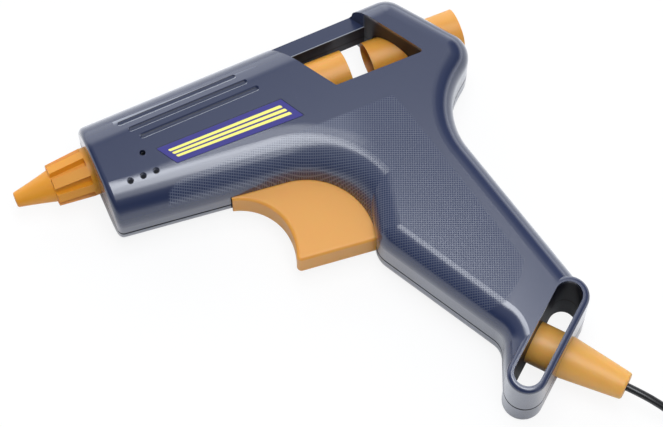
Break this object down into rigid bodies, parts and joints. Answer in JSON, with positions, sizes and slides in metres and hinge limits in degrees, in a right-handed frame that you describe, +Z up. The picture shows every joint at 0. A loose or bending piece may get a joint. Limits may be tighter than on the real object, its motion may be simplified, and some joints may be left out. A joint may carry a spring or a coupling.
{
  "type": "hot-melt glue gun",
  "caption": "Corded hot-melt glue gun lying on its side: two-part casing with hanging slot, feed window, ribbed nozzle boot, sliding trigger with lever-driven stick feed.",
  "frame": {"origin": "on the table under the middle of the gun's box, lead and plug not counted", "axes": "+X from the nozzle to the rear, +Y from the grip to the barrel's top, +Z up from the right side, which lies on the table, to the left side"},
  "size_m": [0.2806, 0.2281, 0.032],
  "materials": {
    "casing": "satin moulded plastic with a fine grid texture",
    "orange": "satin moulded plastic",
    "boot": "smooth silicone",
    "orange_soft": "soft moulded plastic",
    "brass": "machined",
    "aluminium": "cast",
    "film": "amber film",
    "ceramic": "fired ceramic",
    "silicone": "smooth silicone",
    "steel": "plain",
    "black_plastic": "satin",
    "core_brown": "satin",
    "core_blue": "satin",
    "cord": "glossy sheath",
    "plated": "nickel plated"
  },
  "bodies": {
    "casing": {"casing_left": "casing", "casing_right": "casing", "case_screws": "steel", "nozzle_boot": "boot", "nozzle": "brass", "melt_chamber": "aluminium", "heater_film": "film", "heater_electrodes": "brass", "heater_plate": "ceramic", "heater_clip": "steel", "inlet_hose": "silicone", "hose_clamp": "steel", "guide_sleeve": "orange", "pivot_pin": "steel", "return_spring": "steel", "strain_relief": "orange_soft", "inner_cable": "cord", "wire_splices": "brass", "heater_lead_live": "core_brown", "heater_lead_neutral": "core_blue", "cord_core_live": "core_brown", "cord_core_neutral": "core_blue", "cord": "cord", "cord_coil": "cord", "coil_tie": "black_plastic", "cord_tail": "cord", "plug_body": "black_plastic", "plug_pins": "plated"},
    "trigger": {"trigger": "orange"},
    "feed_lever": {"feed_lever": "black_plastic", "lever_pins": "steel"},
    "feed_carriage": {"feed_carriage": "orange", "jaw_pin": "steel"},
    "grip_jaw": {"grip_jaw": "steel"}
  },
  "joints": [
    {"name": "trigger_slide", "type": "slide", "parent": "casing", "child": "trigger", "axis": [1, 0, 0], "range_m": [0, 0.012], "stiffness_N_per_m": 350, "springref_m": -0.006, "deforming": ["return_spring"]},
    {"name": "lever_swing", "type": "hinge", "parent": "casing", "child": "feed_lever", "pos_m": [0.0598, 0.03472, 0.013], "axis": [0, 0, 1], "range_deg": [0, 24.77]},
    {"name": "carriage_slide", "type": "slide", "parent": "casing", "child": "feed_carriage", "axis": [-1, 0, 0], "range_m": [0, 0.00781]},
    {"name": "jaw_bite", "type": "hinge", "parent": "feed_carriage", "child": "grip_jaw", "pos_m": [0.0637, 0.06212, 0.013], "axis": [0, 0, -1], "range_deg": [0, 6.02]}
  ],
  "couplings": [
    {"joint": "lever_swing", "follows": "trigger_slide", "rad_per_m": 35.993},
    {"joint": "carriage_slide", "follows": "trigger_slide", "ratio": 0.65},
    {"joint": "jaw_bite", "follows": "trigger_slide", "rad_per_m": 8.7266}
  ]
}
